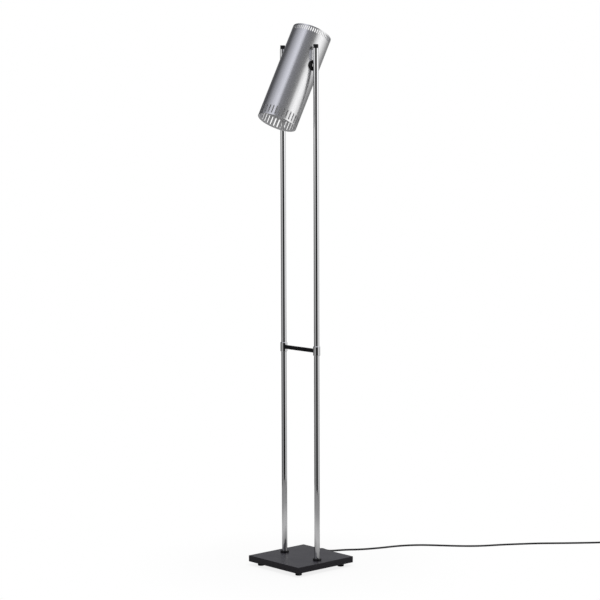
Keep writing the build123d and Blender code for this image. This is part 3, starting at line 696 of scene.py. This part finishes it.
bare_brass = mottled(
    "bare_brass",
    dark=(0.60, 0.44, 0.21),
    light=(0.78, 0.61, 0.33),
    smooth=0.2,
    rough=0.4,
    scale=260.0,
    detail=4.0,
    metallic=1.0,
)
dress(bare_brass, "center_contact", "screw_shell")

# Bulb: an opal glass globe cemented into a rolled metal screw cap.
# It screws into the holder and hangs in the middle of the shade.

opal_glass = mottled(
    "opal_glass",
    dark=(0.88, 0.88, 0.845),
    light=(0.92, 0.92, 0.895),
    smooth=0.07,
    rough=0.13,
    scale=180.0,
)
dress(opal_glass, "bulb_glass")

rolled_metal = mottled(
    "rolled_metal",
    dark=(0.64, 0.63, 0.60),
    light=(0.74, 0.73, 0.70),
    smooth=0.20,
    rough=0.34,
    scale=500.0,
    metallic=1.0,
)
dress(rolled_metal, "bulb_cap")

# Wires: a pair of thin conductors in pale silicone, up the left pole and across the pivot.
# A loose sleeve covers the place where they twist.

silicone = mottled(
    "silicone",
    dark=(0.49, 0.46, 0.41),
    light=(0.60, 0.57, 0.52),
    smooth=0.42,
    rough=0.57,
    scale=400.0,
)
dress(silicone, "pole_wire", "head_wire", "wire_sleeve")

# Cord entry: a rubber strain relief in the back edge of the base, tapered along the cord and ribbed so
# that it bends. The sheathed cord inside the groove is held by a plastic clamp and two screws.

# One rib and the groove after it: how far along its pitch, and what share of the wall is cut away
rib_shape = [(0.0, 0.0), (0.55, 0.0), (0.65, 0.45), (0.90, 0.45)]
rib_rounding = 0.0002


def ribbed(first, last, bore, ribs):
    """Corners of a side with soft ribs that tapers from the first radius and height to the last."""
    corners = []
    for rib in range(ribs):
        for share, cut in rib_shape:
            travel = (rib + share) / ribs
            radius = first[0] + (last[0] - first[0]) * travel
            height = first[1] + (last[1] - first[1]) * travel
            corners.append((radius - (radius - bore) * cut, height, rib_rounding))
    return corners


cord_exit = Vector((-0.063, 0.121, 0.014))
base_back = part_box("base_plate")[1].y
relief_bore = 0.00255
shank_radius = 0.0039
shank_length = 0.014
flange_radius = 0.0055
flange_thickness = 0.0025
root_radius = 0.0045
tip_radius = 0.0032
relief_ribs_end = 0.0238
relief_end = 0.025
relief_section = [
    (relief_bore, -shank_length, 0.0),
    (shank_radius, -shank_length, 0.0004),
    (shank_radius, 0.0, 0.0),
    (flange_radius, 0.0, 0.0003),
    (flange_radius, flange_thickness, 0.0007),
    *ribbed((root_radius, flange_thickness), (tip_radius, relief_ribs_end), relief_bore, ribs=6),
    (tip_radius, relief_ribs_end, 0.0),
    (tip_radius, relief_end, 0.0003),
    (relief_bore, relief_end, 0.0),
]
through_edge = Matrix.Translation((cord_exit.x, base_back, cord_exit.z))
fitted(
    turned(relief_section, steps=40),
    through_edge @ Matrix.Rotation(-math.pi / 2, 4, "X"),
    "ribbed_relief",
    foot_rubber,
    body="stand",
    slot="black_rubber",
    replaced="strain_relief",
)
dress(black_plastic, "cord_clamp")
dress(zinc_plate, "clamp_screws")

cord_sheath = mottled(
    "cord_sheath",
    dark=(0.008, 0.008, 0.009),
    light=(0.014, 0.014, 0.015),
    smooth=0.32,
    rough=0.48,
    scale=110.0,
    detail=4.0,
    skin={"scale": 1300.0},
    skin_depth=0.00003,
)
dress(cord_sheath, "cord_inlet")

# Cord: two cores in a round black sheath. It drops to the floor behind the base and runs off to the
# right, where the spare length is wound into a flat coil of two layers.

cord_diameter = 0.005
cord_route = [
    cord_exit,
    (-0.063, 0.133, 0.014),
    (-0.063, 0.152, 0.0048),
    (-0.058, 0.176, 0.0028),
    (-0.046, 0.203, 0.0027),
    (-0.022, 0.234, 0.0026),
    (0.000, 0.285, 0.0026),
    (0.017, 0.344, 0.0026),
    (0.047, 0.391, 0.0026),
    (0.088, 0.426, 0.0026),
    (0.130, 0.460, 0.0026),
    (0.167, 0.500, 0.0026),
    (0.193, 0.551, 0.0026),
    (0.223, 0.598, 0.0026),
    (0.254, 0.644, 0.0026),
    (0.290, 0.685, 0.0026),
    (0.324, 0.727, 0.0026),
    (0.354, 0.764, 0.0028),
    (0.379, 0.793, 0.0040),
    (0.396, 0.814, 0.0040),
]

coil_turns = 7.258
coil_radius = 0.040
coil_pitch = 0.0056
coil_layer = 0.0056
coil_points_per_turn = 24
coil_angle = 2 * math.pi * coil_turns
coil_drift = coil_pitch / (2 * math.pi)
coil_run_in = Vector(cord_route[-1]) - Vector(cord_route[-2])
run_in_angle = math.atan2(coil_run_in.y, coil_run_in.x)
coil_start = run_in_angle + math.pi / 2 + math.atan2(coil_drift, coil_radius)
coil_mouth = Vector(cord_route[-1]) + coil_run_in.normalized() * cord_diameter
coil_center = coil_mouth - Vector((math.cos(coil_start), math.sin(coil_start), 0.0)) * coil_radius


def coil_place(travel):
    """The coil's middle line after a turn in radians: in on the lower layer, out on the upper."""
    past_middle = travel - coil_angle / 2
    reversal = math.pi / 2
    climbed = 0.0 if past_middle < 0 else 1.0
    radius = coil_radius - coil_drift * (coil_angle / 2 - abs(past_middle))
    if abs(past_middle) < reversal:
        radius += coil_drift * (reversal - abs(past_middle)) ** 2 / (2 * reversal)
        share = (past_middle + reversal) / math.pi
        climbed = share * share * (3 - 2 * share)
    angle = coil_start - travel
    outward = Vector((math.cos(angle), math.sin(angle), 0.0))
    return coil_center + outward * radius + Vector((0.0, 0.0, coil_layer * climbed))


coil_steps = round(coil_turns * coil_points_per_turn)
coil_points = [coil_place(coil_angle * step / coil_steps) for step in range(coil_steps + 1)]

# The plug's frame: its X goes on from the end of the coil, down to where the plug lies on the floor
plug_length = 0.061
plug_half_thickness = 0.00685
floor_gap = 0.0001
end_angle = coil_start - coil_angle
end_run = Vector((math.sin(end_angle), -math.cos(end_angle), 0.0)) * coil_radius
end_run += Vector((math.cos(end_angle), math.sin(end_angle), 0.0)) * coil_drift
plug_drop = (coil_points[-1].z - plug_half_thickness - floor_gap) / (cord_diameter + plug_length)
plug_axis = (end_run.normalized() - Vector((0.0, 0.0, plug_drop))).normalized()
plug_side = Vector((0.0, 0.0, 1.0)).cross(plug_axis).normalized()
plug_turn = Matrix((plug_axis, plug_side, plug_axis.cross(plug_side))).transposed().to_4x4()
plug_place = Matrix.Translation(coil_points[-1] + plug_axis * cord_diameter) @ plug_turn
cord_end = plug_place @ Vector((0.008, 0.0, 0.0))

cord_curve = bpy.data.curves.new("mains_cord", "CURVE")
cord_curve.dimensions = "3D"
cord_curve.bevel_depth = cord_diameter / 2
cord_curve.bevel_resolution = 6
cord_curve.use_fill_caps = True
spline = cord_curve.splines.new("NURBS")
cord_points = [*cord_route, *coil_points, cord_end]
spline.points.add(len(cord_points) - 1)
for point, place in zip(spline.points, cord_points):
    point.co = (*place, 1.0)
spline.order_u = 3
spline.use_endpoint_u = True
spline.resolution_u = 8
mains_cord = bpy.data.objects.new("mains_cord", cord_curve)
bpy.context.scene.collection.objects.link(mains_cord)
cord_curve.materials.append(cord_sheath)
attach(mains_cord, "stand")
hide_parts("cord", "cord_coil")

# Tie: a flat strap of soft black plastic round all the turns of the coil.
# It goes through a buckle on top that draws it tight.

tie_travel = math.radians(46.0)
tie_width = 0.012
tie_thickness = 0.001
tie_gap = 0.0003
tie_bend = 0.0026
buckle_length = 0.0070
buckle_overhang = 0.0008
buckle_height = 0.0026
buckle_edge = 0.0006

innermost_travel = tie_travel + 2 * math.pi * int(coil_turns / 2)
outer_turn = (coil_place(tie_travel) - coil_center).xy.length + cord_diameter / 2
inner_turn = (coil_place(innermost_travel) - coil_center).xy.length - cord_diameter / 2
tie_near = math.sqrt(inner_turn**2 - (tie_width / 2) ** 2) - tie_gap - tie_thickness
tie_far = outer_turn + tie_gap + tie_thickness
tie_low = coil_center.z - cord_diameter / 2 - tie_gap - tie_thickness
tie_high = coil_center.z + coil_layer + cord_diameter / 2 + tie_gap + tie_thickness
tie_corners = [(tie_near, tie_low), (tie_far, tie_low), (tie_far, tie_high), (tie_near, tie_high)]
over_coil = Matrix.Translation((coil_center.x, coil_center.y, 0.0))
tie_place = over_coil @ Matrix.Rotation(coil_start - tie_travel, 4, "Z")

bm = bmesh.new()
bm.faces.new([bm.verts.new((away, -tie_width / 2, up)) for away, up in tie_corners])
rounded(bm, bm.verts[:], tie_bend, segments=6)
bmesh.ops.inset_region(bm, faces=bm.faces[:], thickness=tie_thickness, use_even_offset=True)
opening = max(bm.faces, key=lambda face: len(face.verts))
bmesh.ops.delete(bm, geom=[opening], context="FACES")
strip = bmesh.ops.extrude_face_region(bm, geom=bm.faces[:])
swept = [item for item in strip["geom"] if isinstance(item, bmesh.types.BMVert)]
bmesh.ops.translate(bm, vec=(0.0, tie_width, 0.0), verts=swept)
buckle = bmesh.ops.create_cube(bm, size=1.0)["verts"]
buckle_size = (buckle_length, tie_width + 2 * buckle_overhang, buckle_height)
buckle_place = ((tie_near + tie_far) / 2, 0.0, tie_high + buckle_height / 2 - tie_thickness / 2)
bmesh.ops.scale(bm, vec=buckle_size, verts=buckle)
bmesh.ops.translate(bm, vec=buckle_place, verts=buckle)
buckle_edges = list({edge for vert in buckle for edge in vert.link_edges})
rounded(bm, buckle_edges, buckle_edge, segments=3, affect="EDGES")
bmesh.ops.recalc_face_normals(bm, faces=bm.faces)
strap = fitted(
    bm,
    tie_place,
    "coil_strap",
    black_plastic,
    body="stand",
    slot="black_plastic",
    replaced="coil_tie",
)

# Plug: a flat two-pin plug with grip ridges and a ribbed boot, moulded onto the cord in one shot.
# The pins are nickel plated brass, sleeved in black plastic next to the body.

boot_length = 0.0250
boot_radius = 0.0050
boot_ribs_start_radius = 0.0029
boot_ribs_end_radius = 0.0049
boot_ribs_end = 0.0235
boot_core = 0.0015
boot_section = [
    (0.0, 0.0, 0.0),
    *ribbed((boot_ribs_start_radius, 0.0), (boot_ribs_end_radius, boot_ribs_end), boot_core, ribs=6),
    (boot_radius, boot_ribs_end, 0.0),
    (boot_radius, boot_length, 0.0),
    (0.0, boot_length, 0.0),
]
along_plug = plug_place @ Matrix.Rotation(math.pi / 2, 4, "Y")
boot = fitted(
    turned(boot_section, steps=40),
    along_plug,
    "ribbed_boot",
    black_plastic,
    body="stand",
    slot="black_plastic",
    replaced="plug_boot",
)

plug_half_width = 0.0175
plug_rounding = 0.0024
shoulder_half_width = 0.0070
shoulder_slope = 0.7
groove_count = 5
groove_pitch = 0.0030
grooves_start = 0.0290
groove_half_thickness = 0.0062

# Places along the body, with its half width and half thickness there: the tail, then the grooves that
# leave ridges where fingers grip, then the nose
groove = [
    (0.0, plug_half_thickness),
    (0.0006, groove_half_thickness),
    (0.0018, groove_half_thickness),
    (0.0024, plug_half_thickness),
]
plug_sections = [
    (boot_length, 0.0058, 0.0056),
    (0.0256, 0.0068, 0.0064),
    (0.0270, 0.0084, plug_half_thickness),
]
for number in range(groove_count):
    for step, half_thickness in groove:
        reach = grooves_start + groove_pitch * number + step
        shoulder = shoulder_half_width + (reach - boot_length) * shoulder_slope
        plug_sections.append((reach, min(plug_half_width, shoulder), half_thickness))
plug_sections += [
    (0.0590, plug_half_width, plug_half_thickness),
    (0.0604, 0.0170, 0.0064),
    (plug_length, 0.0160, 0.0056),
]

bm = bmesh.new()
reach, half_width, half_thickness = plug_sections[0]
tail_corners = [(-1, -1), (1, -1), (1, 1), (-1, 1)]
bm.faces.new([bm.verts.new((reach, y * half_width, z * half_thickness)) for y, z in tail_corners])
rounded(bm, bm.verts[:], plug_rounding, segments=5)
front = bm.faces[:]
for next_reach, next_half_width, next_half_thickness in plug_sections[1:]:
    grown = bmesh.ops.extrude_face_region(bm, geom=front)["geom"]
    front = [item for item in grown if isinstance(item, bmesh.types.BMFace)]
    rim = [item for item in grown if isinstance(item, bmesh.types.BMVert)]
    growth = (1.0, next_half_width / half_width, next_half_thickness / half_thickness)
    bmesh.ops.scale(bm, vec=growth, verts=rim)
    bmesh.ops.translate(bm, vec=(next_reach - reach, 0.0, 0.0), verts=rim)
    reach, half_width, half_thickness = next_reach, next_half_width, next_half_thickness
bmesh.ops.recalc_face_normals(bm, faces=bm.faces)
body = fitted(
    bm,
    plug_place,
    "ridged_plug",
    black_plastic,
    body="stand",
    slot="black_plastic",
    replaced="plug_body",
)

nickel_plate = mottled(
    "nickel_plate",
    dark=(0.64, 0.62, 0.56),
    light=(0.74, 0.72, 0.67),
    smooth=0.14,
    rough=0.28,
    scale=500.0,
    metallic=1.0,
)

pin_spacing = 0.0186
pin_radius = 0.0020
pin_tip = 0.0800
pin_rounding = 0.0014
sleeve_radius = 0.0019
sleeve_end = 0.0710
pin_section = [
    (0.0, plug_length, 0.0),
    (sleeve_radius, plug_length, 0.0),
    (sleeve_radius, sleeve_end, 0.0),
    (pin_radius, sleeve_end, 0.0),
    (pin_radius, pin_tip, pin_rounding),
    (0.0, pin_tip, 0.0),
]
pair = turned(pin_section, steps=32)
for face in pair.faces:
    face.material_index = 1 if face.calc_center_median().z < sleeve_end - touching else 0
second = bmesh.ops.duplicate(pair, geom=pair.verts[:] + pair.edges[:] + pair.faces[:])["geom"]
bmesh.ops.translate(pair, vec=(0.0, -pin_spacing / 2, 0.0), verts=pair.verts)
copied = [item for item in second if isinstance(item, bmesh.types.BMVert)]
bmesh.ops.translate(pair, vec=(0.0, pin_spacing, 0.0), verts=copied)
pins = fitted(
    pair,
    along_plug,
    "sleeved_pins",
    nickel_plate,
    black_plastic,
    body="stand",
    slot="nickel_pins",
    replaced="plug_pins",
)
